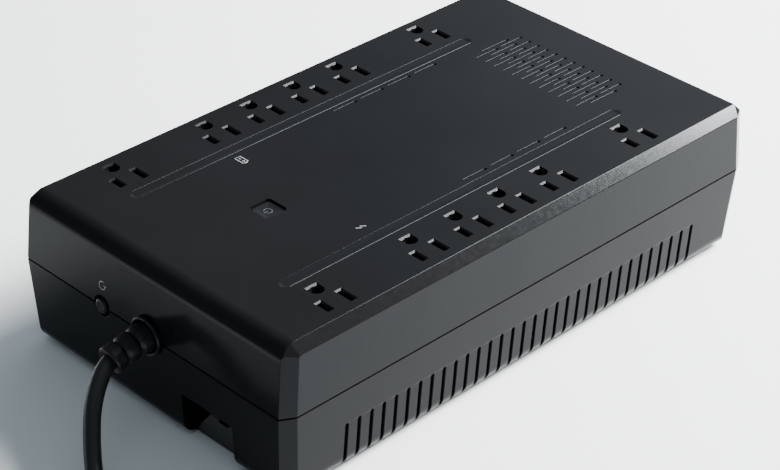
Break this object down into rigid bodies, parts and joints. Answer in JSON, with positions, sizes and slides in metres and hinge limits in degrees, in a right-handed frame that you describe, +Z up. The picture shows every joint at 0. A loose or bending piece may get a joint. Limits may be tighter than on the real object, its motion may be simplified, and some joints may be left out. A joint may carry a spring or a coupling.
{
  "type": "uninterruptible power supply",
  "caption": "Desktop uninterruptible power supply: low black case with two rows of outlets on top, thin top vents, ribbed side vents, push button, reset button and power cord.",
  "frame": {"origin": "centre of the case footprint on the surface it stands on, measured without the cord", "axes": "+Z up, +Y towards the end the power cord leaves, +X to the left side as seen from the front end"},
  "size_m": [0.1994, 0.512, 0.081],
  "materials": {
    "cover_plastic": "fine satin texture",
    "housing_plastic": "fine satin texture",
    "button_plastic": "satin",
    "soft_rubber": "matte",
    "cord_jacket": "satin vinyl",
    "insulator": "matte",
    "contact_brass": "bright",
    "blade_metal": "bright nickel",
    "screw_steel": "zinc plated",
    "battery_case": "satin",
    "foam": "open cell foam",
    "core_steel": "varnished laminations",
    "winding_copper": "enamelled wire under tape",
    "board_green": "solder mask",
    "sink_aluminium": "extruded",
    "chip_black": "moulded epoxy",
    "capacitor_sleeve": "shrink sleeve",
    "relay_blue": "moulded",
    "wire_red": "wire insulation"
  },
  "bodies": {
    "case": {"upper_cover": "cover_plastic", "lower_housing": "housing_plastic", "rubber_feet": "soft_rubber", "case_screws": "screw_steel", "outlet_block_left": "insulator", "outlet_block_right": "insulator", "line_bars": "contact_brass", "neutral_bars": "contact_brass", "ground_bars": "contact_brass", "battery": "battery_case", "battery_terminals": "contact_brass", "battery_leads": "wire_red", "battery_pad": "foam", "transformer_core": "core_steel", "transformer_winding": "winding_copper", "transformer_bracket": "screw_steel", "transformer_screws": "screw_steel", "main_board": "board_green", "board_screws": "screw_steel", "heat_sink": "sink_aluminium", "power_transistors": "chip_black", "capacitors": "capacitor_sleeve", "relays": "relay_blue", "buzzer": "chip_black", "outlet_leads": "wire_red", "cord_inner_leads": "cord_jacket", "button_board": "board_green", "push_switch": "chip_black", "breaker": "insulator", "cord_gland": "button_plastic", "gland_nut": "button_plastic", "strain_relief": "cord_jacket", "power_cord": "cord_jacket", "cord_coil": "cord_jacket", "cord_tail": "cord_jacket", "cord_tie": "soft_rubber", "plug_body": "cord_jacket", "plug_blades": "blade_metal"},
    "power_key": {"power_button": "button_plastic", "switch_plunger": "button_plastic"},
    "reset_key": {"reset_button": "button_plastic"},
    "door": {"battery_door": "housing_plastic"}
  },
  "joints": [
    {"name": "power_press", "type": "slide", "parent": "case", "child": "power_key", "axis": [0, 0, -1], "range_m": [0, 0.0015], "stiffness_N_per_m": 400},
    {"name": "reset_pop", "type": "slide", "parent": "case", "child": "reset_key", "axis": [0, 1, 0], "range_m": [0, 0.003]},
    {"name": "door_slide", "type": "slide", "parent": "case", "child": "door", "axis": [0, 1, 0], "range_m": [0, 0.025]}
  ]
}
